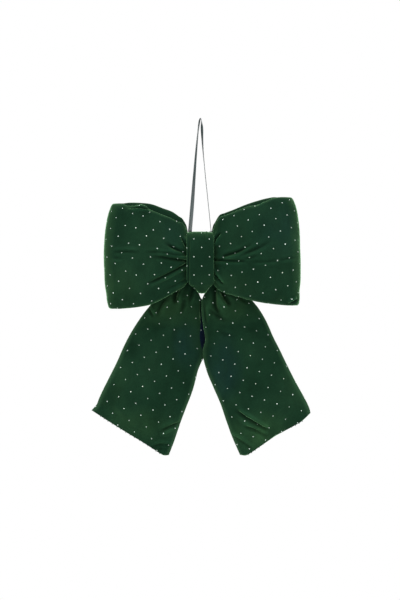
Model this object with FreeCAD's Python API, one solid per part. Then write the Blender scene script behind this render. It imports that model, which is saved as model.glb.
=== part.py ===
import FreeCAD, Part
import math
import os

from FreeCAD import Vector

# A padded velvet bow that hangs from a loop of satin ribbon. Millimetres, +Z up.
# +X is to the viewer's right and +Y points away from the viewer, towards the wall or door.
# The origin is the top of the hook, under the ribbon.

# ---- cloth and thread
VELVET = 1.2          # thickness of the velvet with its pile
AIR = 0.4             # gap left between a cover and its wadding
THREAD = 0.5          # radius of the sewing thread
ROUND = 2.1           # exponent of the padded sections: 2 is an ellipse
SECTION_POINTS = 28   # points on each section curve

# ---- ribbon
RIBBON_WIDTH = 6.0
RIBBON_THICK = 0.8
HOOK_R = 1.5
KNOT_TOP = -174.0
RIBBON_END = KNOT_TOP + 1.2
RIBBON_FOOT_X = 16.2
HOOK_X = HOOK_R + RIBBON_THICK / 2
HOOK_Z = RIBBON_THICK / 2
RIBBON_ROUTE = [      # x, z of the ribbon's middle line, left end to right end
    (-RIBBON_FOOT_X, RIBBON_END), (-13.0, -136.0), (-9.9, -90.0), (-6.4, -44.0),
    (-HOOK_X, HOOK_Z), (HOOK_X, HOOK_Z),
    (3.2, -42.0), (7.4, -88.0), (12.1, -133.0), (RIBBON_FOOT_X, RIBBON_END),
]

# ---- the bow's middle plane stands in front of the hook, so that it hangs upright
BOW_Y = -7.6

# ---- centre band
KNOT_X = -1.0
KNOT_Z = -220.0
KNOT_HALF_WIDTH = 24.0
KNOT_ROUND = 2.4
HOLE_HALF_Y = 22.5
HOLE_HALF_Z = 38.5
# distance from the band's middle, half depth (Y), half height (Z)
KNOT_PROFILE = [(24.0, 26.6, 42.0), (22.4, 28.7, 44.2), (14.0, 30.4, 45.6), (0.0, 31.0, 46.0)]

# ---- loops: a padded strip folded back on itself at the outer end
LAYER_GAP = 1.6       # between the front and the back layer
FOLD_THICK = 26.0     # thickness of the strip where it turns round the fold
FOLD_STEPS = 6
# distance from the bow's centre, middle height, half height, thickness of one layer
LEFT_LOOP = [
    (4.5, -219.0, 29.0, 13.5), (14.0, -219.0, 29.5, 14.0), (25.0, -218.5, 31.0, 14.5),
    (30.0, -217.5, 34.5, 16.0), (37.0, -212.0, 53.0, 20.5), (47.0, -209.5, 63.5, 24.5),
    (61.0, -209.0, 71.0, 27.5),
    (82.0, -209.5, 78.0, 30.5), (104.0, -210.5, 80.5, 30.5),
]
LEFT_FOLD = (121.8, -212.0, 81.5)
RIGHT_LOOP = [
    (4.5, -219.0, 29.0, 13.5), (12.0, -219.0, 29.5, 14.0), (23.0, -218.5, 31.0, 14.5),
    (28.0, -217.5, 34.5, 16.0), (35.0, -210.0, 54.0, 20.5), (45.0, -205.5, 64.5, 24.5),
    (59.0, -204.5, 71.5, 27.5),
    (84.0, -204.0, 78.5, 30.5), (107.0, -203.5, 82.5, 30.5),
]
RIGHT_FOLD = (126.0, -205.5, 82.5)

# ---- tails: flat pillows with a slanted end, gathered to a neck behind the band
# outer edge (x, z), inner edge (x, z), depth of the middle behind the bow's middle plane,
# half thickness
LEFT_TAIL = [
    ((20.0, -227.0), (8.0, -227.0), 37.2, 4.6),
    ((20.5, -252.0), (8.0, -254.0), 37.2, 5.0),
    ((44.0, -262.0), (6.5, -272.0), 36.0, 5.6),
    ((80.0, -282.0), (2.0, -300.0), 33.0, 8.0),
    ((98.0, -321.0), (1.6, -342.0), 23.0, 13.5),
    ((121.0, -369.0), (8.0, -387.0), 18.0, 15.5),
    ((146.0, -414.0), (25.0, -440.0), 18.0, 15.0),
    ((161.0, -441.0), (45.0, -496.0), 18.0, 10.5),
    ((167.0, -451.5), (55.0, -518.0), 18.0, 2.6),
]
RIGHT_TAIL = [
    ((20.0, -227.0), (8.0, -227.0), 37.2, 4.6),
    ((20.5, -252.0), (8.0, -254.0), 37.2, 5.0),
    ((44.0, -262.0), (6.5, -272.0), 36.0, 5.6),
    ((82.0, -280.0), (2.0, -300.0), 33.0, 8.0),
    ((101.0, -318.0), (2.2, -342.0), 23.0, 13.5),
    ((124.0, -365.0), (11.0, -390.0), 18.0, 15.5),
    ((148.0, -410.0), (31.0, -440.0), 18.0, 15.0),
    ((164.0, -441.0), (56.0, -497.0), 18.0, 10.5),
    ((168.5, -452.5), (66.0, -518.0), 18.0, 2.6),
]

# ---- hand stitches
STITCH = 4.6          # length of one stitch
STITCH_PITCH = 6.5
KNOT_SEAM = (-246.0, -196.0)
LOOP_SEAM = (58.0, 104.0)
TACK_HEIGHTS = (-237.0, -243.0)
TACK_X = (5.2, 22.4)  # the two legs of a tack, from the bow's centre
TACK_CLEAR = 1.2      # between a tack's middle and the gathered neck under it
TACK_SUNK = 1.0       # how deep its legs go into the band
TACK_BEND = 1.5
TIE_R = 0.8
TIE_PITCH = 2.4
TIE_TURNS = 6


# ================================================================ shared shapes

def padded_ring(centre, across, along, power=ROUND):
    """A closed wire, round like a pillow's section, with two half-axis vectors."""
    points = []
    for i in range(SECTION_POINTS):
        turn = 2 * math.pi * i / SECTION_POINTS
        c, s = math.cos(turn), math.sin(turn)
        a = math.copysign(abs(c) ** (2 / power), c)
        b = math.copysign(abs(s) ** (2 / power), s)
        points.append(centre + across * a + along * b)
    curve = Part.BSplineCurve()
    curve.interpolate(Points=points, PeriodicFlag=True)
    return Part.Wire(curve.toShape())


def loft(rings):
    return Part.makeLoft(rings, True, False)


def rod(start, end, radius=THREAD):
    run = end - start
    return Part.makeCylinder(radius, run.Length, start, run)


def back_of(solid, x, z):
    """The Y of the solid's rearmost surface on a line through x, z."""
    line = Part.makeLine(Vector(x, -200, z), Vector(x, 200, z))
    return max(v.Point.y for v in solid.common(line).Vertexes)


def steps(first, last, pitch):
    count = int(abs(last - first) / pitch)
    return [first + (last - first) * i / count for i in range(count + 1)]


def rounded_path(points, radii):
    """Straight runs through the points, joined by a tangent arc at each inner one."""
    edges, start = [], points[0]
    for before, corner, after, radius in zip(points, points[1:], points[2:], radii):
        one = (before - corner).normalize()
        two = (after - corner).normalize()
        half = one.getAngle(two) / 2
        reach = radius / math.tan(half)
        middle = corner + (one + two).normalize() * (radius / math.sin(half) - radius)
        enter, leave = corner + one * reach, corner + two * reach
        edges.append(Part.LineSegment(start, enter).toShape())
        edges.append(Part.Arc(enter, middle, leave).toShape())
        start = leave
    edges.append(Part.LineSegment(start, points[-1]).toShape())
    return Part.Wire(edges)


def thread_along(path, radius=THREAD):
    first = path.Edges[0]
    start = first.valueAt(first.FirstParameter)
    circle = Part.makeCircle(radius, start, first.tangentAt(first.FirstParameter))
    return path.makePipeShell([Part.Wire(circle)], True, True)


# ================================================================ ribbon

def corner_radius(before, corner, after):
    one, two = corner - before, after - corner
    turn = one.getAngle(two)
    return 0.45 * min(one.Length, two.Length) / math.tan(turn / 2)


def ribbon_path():
    """The ribbon's middle line, in the plane y = 0."""
    points = [Vector(x, 0, z) for x, z in RIBBON_ROUTE]
    radii = [corner_radius(*three) for three in zip(points, points[1:], points[2:])]
    print("ribbon bend radii, mm:", [round(r, 1) for r in radii])
    return rounded_path(points, radii)


def hanging_ribbon():
    path = ribbon_path()
    foot = path.Edges[0]
    lean = foot.tangentAt(foot.FirstParameter)
    side = lean.cross(Vector(0, 1, 0)).normalize()
    corners = [
        Vector(RIBBON_ROUTE[0][0], 0, RIBBON_ROUTE[0][1])
        + side * (u * RIBBON_THICK / 2) + Vector(0, v * RIBBON_WIDTH / 2, 0)
        for u, v in ((-1, -1), (1, -1), (1, 1), (-1, 1), (-1, -1))
    ]
    strip = path.makePipeShell([Part.makePolygon(corners)], True, True)
    flat = path.Length * RIBBON_WIDTH * RIBBON_THICK
    print(f"ribbon length {path.Length:.1f} mm, volume {strip.Volume:.0f} of {flat:.0f} mm3")
    return strip


# ================================================================ centre band

def band_bulk(inset):
    """The band filled in, its outside drawn in by inset on every side."""
    stations = [(-d, y, z) for d, y, z in KNOT_PROFILE]
    stations += [(d, y, z) for d, y, z in KNOT_PROFILE[-2::-1]]
    squeeze = (KNOT_HALF_WIDTH - inset) / KNOT_HALF_WIDTH
    return loft([
        padded_ring(
            Vector(KNOT_X + d * squeeze, BOW_Y, KNOT_Z),
            Vector(0, y - inset, 0), Vector(0, 0, z - inset), KNOT_ROUND,
        )
        for d, y, z in stations
    ])


def band_hole(outset):
    """The way through the band, wide enough for the loops' gathered ends."""
    return loft([
        padded_ring(
            Vector(KNOT_X + x, BOW_Y, KNOT_Z),
            Vector(0, HOLE_HALF_Y + outset, 0), Vector(0, 0, HOLE_HALF_Z + outset), KNOT_ROUND,
        )
        for x in (-KNOT_HALF_WIDTH - 5, KNOT_HALF_WIDTH + 5)
    ])


def band(inset):
    return band_bulk(inset).cut(band_hole(inset))


def knot_closing_stitches(outside):
    bars = []
    for z in steps(*KNOT_SEAM, STITCH_PITCH):
        y = back_of(outside, KNOT_X, z)
        lean = Vector(STITCH / 2, 0, 0.8)
        middle = Vector(KNOT_X, y, z)
        bars.append(rod(middle - lean, middle + lean))
    return Part.makeCompound(bars)


def waist_tie():
    """The turns of cord that bind the loops' ends under the band."""
    turns = []
    for i in range(TIE_TURNS):
        x = KNOT_X + (i - (TIE_TURNS - 1) / 2) * TIE_PITCH
        room = TIE_R + 0.3
        path = padded_ring(
            Vector(x, BOW_Y, KNOT_Z),
            Vector(0, HOLE_HALF_Y - room, 0), Vector(0, 0, HOLE_HALF_Z - room), KNOT_ROUND,
        )
        turns.append(thread_along(path, TIE_R))
    return Part.makeCompound(turns)


def ribbon_tack_stitches(outside):
    """Two bars of thread at each ribbon end, one on either side of the ribbon's edges."""
    bars = []
    for side in (-1, 1):
        for y in (-RIBBON_WIDTH / 2 - 1.8, RIBBON_WIDTH / 2 + 1.8):
            x = side * RIBBON_FOOT_X
            line = Part.makeLine(Vector(x, y, -300), Vector(x, y, 0))
            top = max(v.Point.z for v in outside.common(line).Vertexes)
            bars.append(rod(Vector(x - STITCH / 2, y, top), Vector(x + STITCH / 2, y, top)))
    return Part.makeCompound(bars)


# ================================================================ loops

def loop(side, layers, fold, inset):
    """The folded strip: front layer outwards, round the fold, and back behind itself."""
    def station(x, y, z, thick_way, half_height, thick):
        return padded_ring(
            Vector(side * x, BOW_Y + y, z),
            Vector(side * thick_way[0], thick_way[1], 0) * (thick / 2 - inset),
            Vector(0, 0, half_height - inset),
        )

    front, back = [], []
    for i, (x, z, half_height, thick) in enumerate(layers):
        reach = x + inset if i == 0 else x
        offset = (LAYER_GAP + thick) / 2
        front.append(station(reach, -offset, z, (0, -1), half_height, thick))
        back.append(station(reach, offset, z, (0, 1), half_height, thick))
    centre_x, centre_z, half_height = fold
    radius = (LAYER_GAP + FOLD_THICK) / 2
    turn = []
    for i in range(FOLD_STEPS + 1):
        angle = math.pi * i / FOLD_STEPS
        way = (math.sin(angle), -math.cos(angle))
        turn.append(station(
            centre_x + radius * way[0], radius * way[1], centre_z, way, half_height, FOLD_THICK,
        ))
    return loft(front + turn + back[::-1])


def loop_closing_stitches(outside, side, height):
    """A short row of hand stitches on the back layer, where the strip was stuffed."""
    bars = []
    for x in steps(*LOOP_SEAM, STITCH_PITCH):
        y = back_of(outside, side * x, height)
        lean = Vector(0.8, 0, STITCH / 2)
        middle = Vector(side * x, y, height)
        bars.append(rod(middle - lean, middle + lean))
    return Part.makeCompound(bars)


# ================================================================ tails

def tail(side, stations, inset):
    rings = []
    last = len(stations) - 1
    for i, (outer, inner, depth, half_thick) in enumerate(stations):
        outer = Vector(side * outer[0], 0, outer[1])
        inner = Vector(side * inner[0], 0, inner[1])
        across = (outer - inner) / 2
        along = across.cross(Vector(0, -side, 0)).normalize()
        end = {0: -1, last: 1}.get(i, 0)
        centre = (outer + inner) / 2 + Vector(0, BOW_Y + depth, 0) - along * (inset * end)
        width = across.Length - inset
        rings.append(padded_ring(
            centre, across.normalize() * width, Vector(0, half_thick - min(inset, 2.2), 0),
        ))
    return loft(rings)


def tail_closing_stitches(side, stations):
    """Stitches across the narrow end face, where the pillow was stuffed."""
    outer, inner, depth, half_thick = stations[-1]
    outer = Vector(side * outer[0], BOW_Y + depth, outer[1])
    inner = Vector(side * inner[0], BOW_Y + depth, inner[1])
    length = (outer - inner).Length
    half = Vector(0, half_thick * 0.8, 0)
    bars = []
    for reach in steps(0.12 * length, 0.88 * length, STITCH_PITCH):
        middle = inner + (outer - inner) * (reach / length)
        bars.append(rod(middle - half, middle + half))
    return Part.makeCompound(bars)


def tail_tack_stitches():
    """Thread staples over the tails' gathered necks, with both legs in the band's back."""
    band_back = band_bulk(0)
    depth, half_thick = LEFT_TAIL[0][2], LEFT_TAIL[1][3]
    bridge = BOW_Y + depth + half_thick + TACK_CLEAR
    staples = []
    for side in (-1, 1):
        for z in TACK_HEIGHTS:
            near, far = [Vector(side * x, bridge, z) for x in TACK_X]
            roots = [Vector(p.x, back_of(band_back, p.x, z) - TACK_SUNK, z) for p in (near, far)]
            path = rounded_path([roots[0], near, far, roots[1]], [TACK_BEND] * 2)
            staples.append(thread_along(path))
    return Part.makeCompound(staples)


# ================================================================ the bow

def cover(outer, inner):
    return outer.cut(inner)


def build():
    pieces = {"hanging_ribbon": hanging_ribbon()}

    band_outside = band_bulk(0)
    pieces["knot_cover"] = cover(band(0), band(VELVET))
    pieces["knot_fill"] = band(VELVET + AIR)
    pieces["knot_closing_stitches"] = knot_closing_stitches(band_outside)
    pieces["waist_tie"] = waist_tie()
    pieces["ribbon_tack_stitches"] = ribbon_tack_stitches(band_outside)
    pieces["tail_tack_stitches"] = tail_tack_stitches()

    for name, side, layers, fold in (
        ("left_loop", -1, LEFT_LOOP, LEFT_FOLD), ("right_loop", 1, RIGHT_LOOP, RIGHT_FOLD),
    ):
        outside = loop(side, layers, fold, 0)
        pieces[f"{name}_cover"] = cover(outside, loop(side, layers, fold, VELVET))
        pieces[f"{name}_fill"] = loop(side, layers, fold, VELVET + AIR)
        pieces[f"{name}_closing_stitches"] = loop_closing_stitches(outside, side, fold[1])

    for name, side, stations in (
        ("left_tail", -1, LEFT_TAIL), ("right_tail", 1, RIGHT_TAIL),
    ):
        outside = tail(side, stations, 0)
        pieces[f"{name}_cover"] = cover(outside, tail(side, stations, VELVET))
        pieces[f"{name}_fill"] = tail(side, stations, VELVET + AIR)
        pieces[f"{name}_closing_stitches"] = tail_closing_stitches(side, stations)
    return pieces


os.makedirs("parts", exist_ok=True)
for node, shape in build().items():
    shape.exportStep(f"parts/{node}.step")
    print(f"{node}: {len(shape.Solids)} solids, {shape.Volume / 1000:.1f} cm3, valid {shape.isValid()}")
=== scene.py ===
"""A padded velvet gift bow on its ribbon loop: the looks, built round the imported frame."""

import math
import random

import bpy
import numpy as np
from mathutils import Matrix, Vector


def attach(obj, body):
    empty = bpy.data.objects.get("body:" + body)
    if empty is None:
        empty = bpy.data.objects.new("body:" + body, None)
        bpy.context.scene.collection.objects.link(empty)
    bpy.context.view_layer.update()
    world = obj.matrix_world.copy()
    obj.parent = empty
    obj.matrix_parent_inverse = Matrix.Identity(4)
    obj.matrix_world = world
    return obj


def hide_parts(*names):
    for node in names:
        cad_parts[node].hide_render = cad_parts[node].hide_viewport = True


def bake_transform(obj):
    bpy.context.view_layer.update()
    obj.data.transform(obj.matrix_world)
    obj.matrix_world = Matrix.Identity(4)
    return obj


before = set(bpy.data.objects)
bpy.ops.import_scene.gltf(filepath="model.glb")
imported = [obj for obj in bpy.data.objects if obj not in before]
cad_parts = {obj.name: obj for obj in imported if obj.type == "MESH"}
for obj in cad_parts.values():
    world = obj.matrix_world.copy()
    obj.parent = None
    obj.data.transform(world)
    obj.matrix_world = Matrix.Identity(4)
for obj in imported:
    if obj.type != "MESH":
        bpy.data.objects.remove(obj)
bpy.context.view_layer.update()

MM = 0.001
BOW_Y = -7.6                  # middle plane of the bow
KNOT_Z = -220.0
random.seed(7)


# ======== camera, light, floor

# metres: how far off the camera stands, and the height that its picture spans there
CAMERA_DISTANCE, CAMERA_SPAN = 2.6, 0.924
CAMERA_X, CAMERA_Z = -0.0008, -0.2803
# strength of the white room that lights the bow, and of the wall that only the camera sees
ROOM_LIGHT, WALL_LIGHT = 0.34, 1.0
# name, place, size in metres, power in watts: they all face the middle of the bow
SOFTBOXES = (
    ("overhead", (0.0, -0.45, 1.5), (1.8, 0.9), 24),
    ("front", (0.0, -3.0, 0.2), (2.0, 1.2), 22),
    ("front_left", (-1.6, -1.9, 0.1), (1.0, 1.6), 8),
    ("front_right", (1.7, -1.8, 0.0), (1.0, 1.6), 9),
    ("side_left", (-2.0, -0.35, -0.15), (0.8, 1.2), 13),
    ("side_right", (2.0, -0.35, -0.25), (0.8, 1.2), 10),
    ("front_low", (0.0, -2.2, -0.65), (1.4, 0.6), 16),
    ("behind", (0.0, 1.9, 0.5), (2.0, 1.2), 20),
)
LIT_MIDDLE = Vector((0, 0, -0.26))
FLOOR_RADIUS, FLOOR_Z, FLOOR_THICK = 1.25, -1.12, 0.02


def make_camera():
    data = bpy.data.cameras.new("camera")
    camera = bpy.data.objects.new("camera", data)
    bpy.context.scene.collection.objects.link(camera)
    data.sensor_width = 36.0
    data.lens = data.sensor_width * CAMERA_DISTANCE / CAMERA_SPAN
    data.clip_end = 30
    camera.location = (CAMERA_X, BOW_Y * MM - CAMERA_DISTANCE, CAMERA_Z)
    camera.rotation_euler = (math.radians(90), 0, 0)
    bpy.context.scene.camera = camera


def make_studio():
    """A white room with soft lights; the camera sees a plain white wall behind the bow."""
    scene = bpy.context.scene
    scene.view_settings.view_transform = "Standard"
    scene.world = bpy.data.worlds.new("studio")
    scene.world.use_nodes = True
    tree = scene.world.node_tree
    tree.nodes.clear()
    out = tree.nodes.new("ShaderNodeOutputWorld")
    mix = tree.nodes.new("ShaderNodeMixShader")
    path = tree.nodes.new("ShaderNodeLightPath")
    tree.links.new(path.outputs["Is Camera Ray"], mix.inputs["Fac"])
    for socket, strength in ((1, ROOM_LIGHT), (2, WALL_LIGHT)):
        white = tree.nodes.new("ShaderNodeBackground")
        white.inputs["Color"].default_value = (1, 1, 1, 1)
        white.inputs["Strength"].default_value = strength
        tree.links.new(white.outputs[0], mix.inputs[socket])
    tree.links.new(mix.outputs[0], out.inputs["Surface"])
    for name, place, size, power in SOFTBOXES:
        data = bpy.data.lights.new(name, "AREA")
        data.shape = "RECTANGLE"
        data.size, data.size_y = size
        data.energy = power
        lamp = bpy.data.objects.new(name, data)
        scene.collection.objects.link(lamp)
        lamp.location = place
        lamp.rotation_euler = (LIT_MIDDLE - Vector(place)).to_track_quat("-Z", "Y").to_euler()


def make_floor():
    bpy.ops.mesh.primitive_circle_add(vertices=96, radius=FLOOR_RADIUS, fill_type="NGON")
    floor = bpy.context.object
    floor.name = "floor"
    floor.location = (0, 0, FLOOR_Z)
    floor.modifiers.new("thickness", "SOLIDIFY").thickness = FLOOR_THICK
    material = bpy.data.materials.new("pale_floor")
    material.use_nodes = True
    shader = material.node_tree.nodes["Principled BSDF"]
    shader.inputs["Base Color"].default_value = (0.82, 0.82, 0.81, 1)
    shader.inputs["Roughness"].default_value = 0.75
    floor.data.materials.append(material)


# ======== materials

class Paint:
    """A small helper that builds one node material."""

    def __init__(self, name):
        self.material = bpy.data.materials.new(name)
        self.material.use_nodes = True
        self.tree = self.material.node_tree
        self.shader = self.tree.nodes["Principled BSDF"]
        self.coords = self.tree.nodes.new("ShaderNodeTexCoord").outputs["Object"]

    def node(self, kind, links=(), **values):
        node = self.tree.nodes.new(kind)
        for key, value in values.items():
            if key in node.inputs:
                node.inputs[key].default_value = value
            else:
                setattr(node, key, value)
        for key, source in dict(links).items():
            self.tree.links.new(source, node.inputs[key])
        return node

    def noise(self, scale, detail=2.0, stretch=None, rough=0.5):
        place = self.coords
        if stretch:
            place = self.node("ShaderNodeMapping", {"Vector": place}, Scale=stretch).outputs["Vector"]
        return self.node("ShaderNodeTexNoise", {"Vector": place}, Scale=scale, Detail=detail,
                         Roughness=rough).outputs["Fac"]

    def ramp(self, factor, stops):
        node = self.node("ShaderNodeValToRGB", {"Fac": factor})
        ramp = node.color_ramp
        while len(ramp.elements) < len(stops):
            ramp.elements.new(0.5)
        for element, (place, colour) in zip(ramp.elements, stops):
            element.position = place
            element.color = (*colour, 1)
        return node.outputs["Color"]

    def grey(self, factor, *stops):
        return self.ramp(factor, [(place, (value,) * 3) for place, value in stops])

    def mix(self, factor, first, second, blend="MIX"):
        node = self.tree.nodes.new("ShaderNodeMix")
        node.data_type = "RGBA"
        node.blend_type = blend
        for socket, value in ((0, factor), (6, first), (7, second)):
            if hasattr(value, "links"):
                self.tree.links.new(value, node.inputs[socket])
            elif socket == 0:
                node.inputs[0].default_value = value
            else:
                node.inputs[socket].default_value = (*value, 1)
        return node.outputs[2]

    def bump(self, height, strength, distance, below=None):
        links = {"Height": height, **({"Normal": below} if below is not None else {})}
        return self.node("ShaderNodeBump", links, Strength=strength,
                         Distance=distance).outputs["Normal"]

    def plug(self, source, socket):
        self.tree.links.new(source, self.shader.inputs[socket])

    def set(self, **values):
        for key, value in values.items():
            self.shader.inputs[key.replace("_", " ")].default_value = value


# colours: pile pressed flat; painted light; painted sheen on the edges; painted sheen where the surface is
# seen edge-on; painted shadow behind the other tail
PRESSED, PAINTED_LIGHT = (0.0060, 0.0225, 0.0290), (0.0150, 0.0470, 0.0185)
RIM_SHEEN_PAINT, PAINTED_SHEEN, PAINTED_SHADOW = (0.028, 0.075, 0.035), (0.034, 0.098, 0.036), (0.0036, 0.0080, 0.0200)
# marks on the front, darker ones of pressed nap and lighter ones of painted light on lit rims, tail ends
# and the tail tops in the loops' shadow: middle (mm), half width and half height (mm), strength, colour
NAP_AND_PAINTED_LIGHT_MARKS = (
    ((-18, -2, -352), (30, 44), 0.40, PRESSED), ((38, -2, -384), (32, 60), 0.42, PRESSED),
    ((118, -36, -172), (50, 56), 0.24, PRESSED), ((-44, -34, -180), (26, 38), 0.10, PRESSED),
    ((-152, -24, -214), (22, 84), 0.45, PAINTED_LIGHT), ((-124, -36, -262), (44, 48), 0.40, PAINTED_LIGHT),
    ((40, -34, -262), (60, 30), 0.32, PAINTED_LIGHT), ((-54, 12, -290), (80, 40), 0.85, PAINTED_LIGHT),
    ((48, 12, -288), (62, 36), 0.80, PAINTED_LIGHT), ((92, 0, -486), (64, 42), 1.0, PAINTED_LIGHT),
    ((-100, 0, -474), (84, 34), 0.60, PAINTED_LIGHT), ((-132, 0, -405), (34, 60), 0.34, PAINTED_LIGHT),
    ((146, 0, -410), (30, 60), 0.34, PAINTED_LIGHT),
)
MARK_DEPTH = 36               # half size of a mark from front to back, in mm
# painted shade in the creases and painted highlight on their lips: fold depth in mm to a colour factor
FOLD_PAINTED_SHADE = {"From Min": -2.6, "From Max": 2.6, "To Min": 0.48, "To Max": 1.52}


def velvet():
    """Dark green velvet: patchy nap, marks in it with painted light among them, painted sheen on the edges
    and where seen edge-on, painted shade in the creases with painted highlight on their lips, painted
    shadow behind the other tail, a pale sheen.
    """
    p = Paint("green_velvet")
    nap = p.noise(17, 3)
    brushed = p.noise(55, 3, stretch=(1, 1, 0.45), rough=0.6)
    colour = p.ramp(nap, [(0.30, (0.0044, 0.0205, 0.0096)), (0.52, (0.0057, 0.0250, 0.0118)),
                          (0.75, (0.0080, 0.0310, 0.0144))])
    uneven = p.grey(p.noise(34, 3, stretch=(1, 1, 0.55)), (0.36, 0.45), (0.62, 1))
    for middle, (wide, high), strength, other in NAP_AND_PAINTED_LIGHT_MARKS:
        place = p.node("ShaderNodeMapping", {"Vector": p.coords}, vector_type="TEXTURE",
                       Location=[v * MM for v in middle],
                       Scale=(wide * MM, MARK_DEPTH * MM, high * MM)).outputs["Vector"]
        spot = p.node("ShaderNodeTexGradient", {"Vector": place}, gradient_type="SPHERICAL")
        mark = p.grey(spot.outputs["Fac"], (0.0, 0), (0.70, strength))
        colour = p.mix(p.mix(1.0, mark, uneven, "MULTIPLY"), colour, other)
    colour = p.mix(1.0, colour, p.grey(brushed, (0.35, 0.90), (0.65, 1.08)), "MULTIPLY")
    # painted sheen: the base colour turns lighter where the surface is seen edge-on
    facing = p.node("ShaderNodeLayerWeight", Blend=0.36).outputs["Facing"]
    colour = p.mix(p.grey(facing, (0.14, 0), (0.55, 0.38), (1.0, 1)), colour, PAINTED_SHEEN)
    # painted sheen on the rims from the edge attribute, and painted shadow where the left tail lies behind
    # the right
    for key, other in (("edge", RIM_SHEEN_PAINT), ("behind_shadow", PAINTED_SHADOW)):
        there = p.node("ShaderNodeAttribute", attribute_name=key).outputs["Fac"]
        colour = p.mix(there, colour, other)
    # painted shade in the creases and painted highlight on their lips, from how far the skin was pressed
    # in
    fold = p.node("ShaderNodeAttribute", attribute_name="fold").outputs["Fac"]
    crease_shade = p.node("ShaderNodeMapRange", {"Value": fold}, **FOLD_PAINTED_SHADE).outputs["Result"]
    colour = p.mix(1.0, colour, crease_shade, "MULTIPLY")
    pile = p.noise(2600, 2)
    speck = p.grey(pile, (0.35, 0.72), (0.65, 1.28))
    p.plug(p.mix(1.0, colour, speck, "MULTIPLY"), "Base Color")
    p.plug(p.bump(pile, 0.55, 0.0003, p.bump(brushed, 0.25, 0.0009)), "Normal")
    p.plug(p.grey(nap, (0.3, 0.90), (0.7, 0.80)), "Roughness")
    p.set(Specular_IOR_Level=0.04, Sheen_Weight=1.0, Sheen_Roughness=0.24,
          Sheen_Tint=(0.40, 0.86, 0.42, 1))
    return p.material


def foil():
    """The silvery foil of the small spots."""
    p = Paint("silver_foil")
    grain = p.noise(1500, 2)
    p.plug(p.ramp(grain, [(0.3, (0.66, 0.78, 0.71)), (0.7, (0.86, 0.97, 0.91))]), "Base Color")
    p.plug(p.grey(grain, (0.3, 0.30), (0.7, 0.48)), "Roughness")
    p.plug(p.bump(grain, 0.35, 0.0002), "Normal")
    p.set(Metallic=0.75)
    return p.material


def satin():
    """Slate green satin ribbon: long floats along it, and a sharp sheen."""
    p = Paint("slate_satin")
    floats = p.noise(900, 3, stretch=(1, 1, 0.06))
    slow = p.noise(22, 1)
    colour = p.ramp(slow, [(0.35, (0.020, 0.034, 0.034)), (0.65, (0.040, 0.066, 0.064))])
    p.plug(p.mix(1.0, colour, p.grey(floats, (0.3, 0.75), (0.7, 1.25)), "MULTIPLY"), "Base Color")
    p.plug(p.grey(floats, (0.3, 0.30), (0.7, 0.42)), "Roughness")
    p.plug(p.bump(floats, 0.4, 0.0002), "Normal")
    p.set(Specular_IOR_Level=0.7, Anisotropic=0.6, Sheen_Weight=0.25, Sheen_Roughness=0.3)
    return p.material


def fibre(name, dark, light, scale, stretch=None, rough=0.8):
    """Wadding, cord and thread: twisted or matted fibres."""
    p = Paint(name)
    strands = p.noise(scale, 4, stretch=stretch, rough=0.65)
    p.plug(p.ramp(strands, [(0.3, dark), (0.7, light)]), "Base Color")
    p.plug(p.bump(strands, 0.7, 0.0006), "Normal")
    p.plug(p.grey(strands, (0.3, rough + 0.1), (0.7, rough - 0.1)), "Roughness")
    p.set(Sheen_Weight=0.3, Specular_IOR_Level=0.25)
    return p.material


# ======== shared shape tools

def smooth_table(stations, values, at):
    """Values between stations on a smooth curve through them."""
    x = np.asarray(stations, float)
    y = np.asarray(values, float)
    flat = y.reshape(len(x), -1)
    slope = np.zeros_like(flat)
    step = np.diff(x)[:, None]
    rise = np.diff(flat, axis=0) / step
    slope[1:-1] = (rise[:-1] * step[1:] + rise[1:] * step[:-1]) / (step[:-1] + step[1:])
    slope[0], slope[-1] = rise[0], rise[-1]
    turning = rise[:-1] * rise[1:] <= 0
    slope[1:-1][turning] *= 0.35
    at = np.clip(np.asarray(at, float), x[0], x[-1])
    i = np.clip(np.searchsorted(x, at, side="right") - 1, 0, len(x) - 2)
    width = (x[i + 1] - x[i])[..., None]
    t = (at - x[i])[..., None] / width
    a, b = flat[i], flat[i + 1]
    result = ((2 * t**3 - 3 * t**2 + 1) * a + (t**3 - 2 * t**2 + t) * slope[i] * width
              + (3 * t**2 - 2 * t**3) * b + (t**3 - t**2) * slope[i + 1] * width)
    return result.reshape(at.shape + y.shape[1:])


def ease(value, low, high):
    """Rises smoothly from 0 at low to 1 at high."""
    t = np.clip((value - low) / (high - low), 0, 1)
    return t * t * (3 - 2 * t)


def section(count, power=2.1):
    """Round the section of a pillow: height from +1 to -1 and back, and thickness."""
    turn = 2 * np.pi * np.arange(count) / count
    c, s = np.cos(turn), np.sin(turn)
    return (np.sign(c) * np.abs(c) ** (2 / power), np.sign(s) * np.abs(s) ** (2 / power))


def refined(grid, ring=False):
    """The grid with a new line between each two: columns always wrap, rows when ring is set."""
    def between(g, wrap):
        if wrap:
            padded = np.concatenate([g[-1:], g, g[:2]])
        else:
            padded = np.concatenate([2 * g[:1] - g[1:2], g, 2 * g[-1:] - g[-2:-1]])
        mid = (9 * (padded[1:-2] + padded[2:-1]) - padded[:-3] - padded[3:]) / 16
        out = np.empty((len(g) + len(mid),) + g.shape[1:])
        out[0::2], out[1::2] = g, mid
        return out
    grid = between(grid, ring)
    return np.swapaxes(between(np.swapaxes(grid, 0, 1), True), 0, 1)


def normals(grid, ring=False):
    """Unit normals that point out of the closed skin."""
    if ring:
        along = np.roll(grid, -1, axis=0) - np.roll(grid, 1, axis=0)
    else:
        along = np.gradient(grid, axis=0)
    around = np.roll(grid, -1, axis=1) - np.roll(grid, 1, axis=1)
    n = np.cross(along, around)
    n /= np.maximum(np.linalg.norm(n, axis=2, keepdims=True), 1e-9)
    outward = grid - grid.mean(axis=1, keepdims=True)
    if (n * outward).sum() < 0:
        n = -n
    return n


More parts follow.
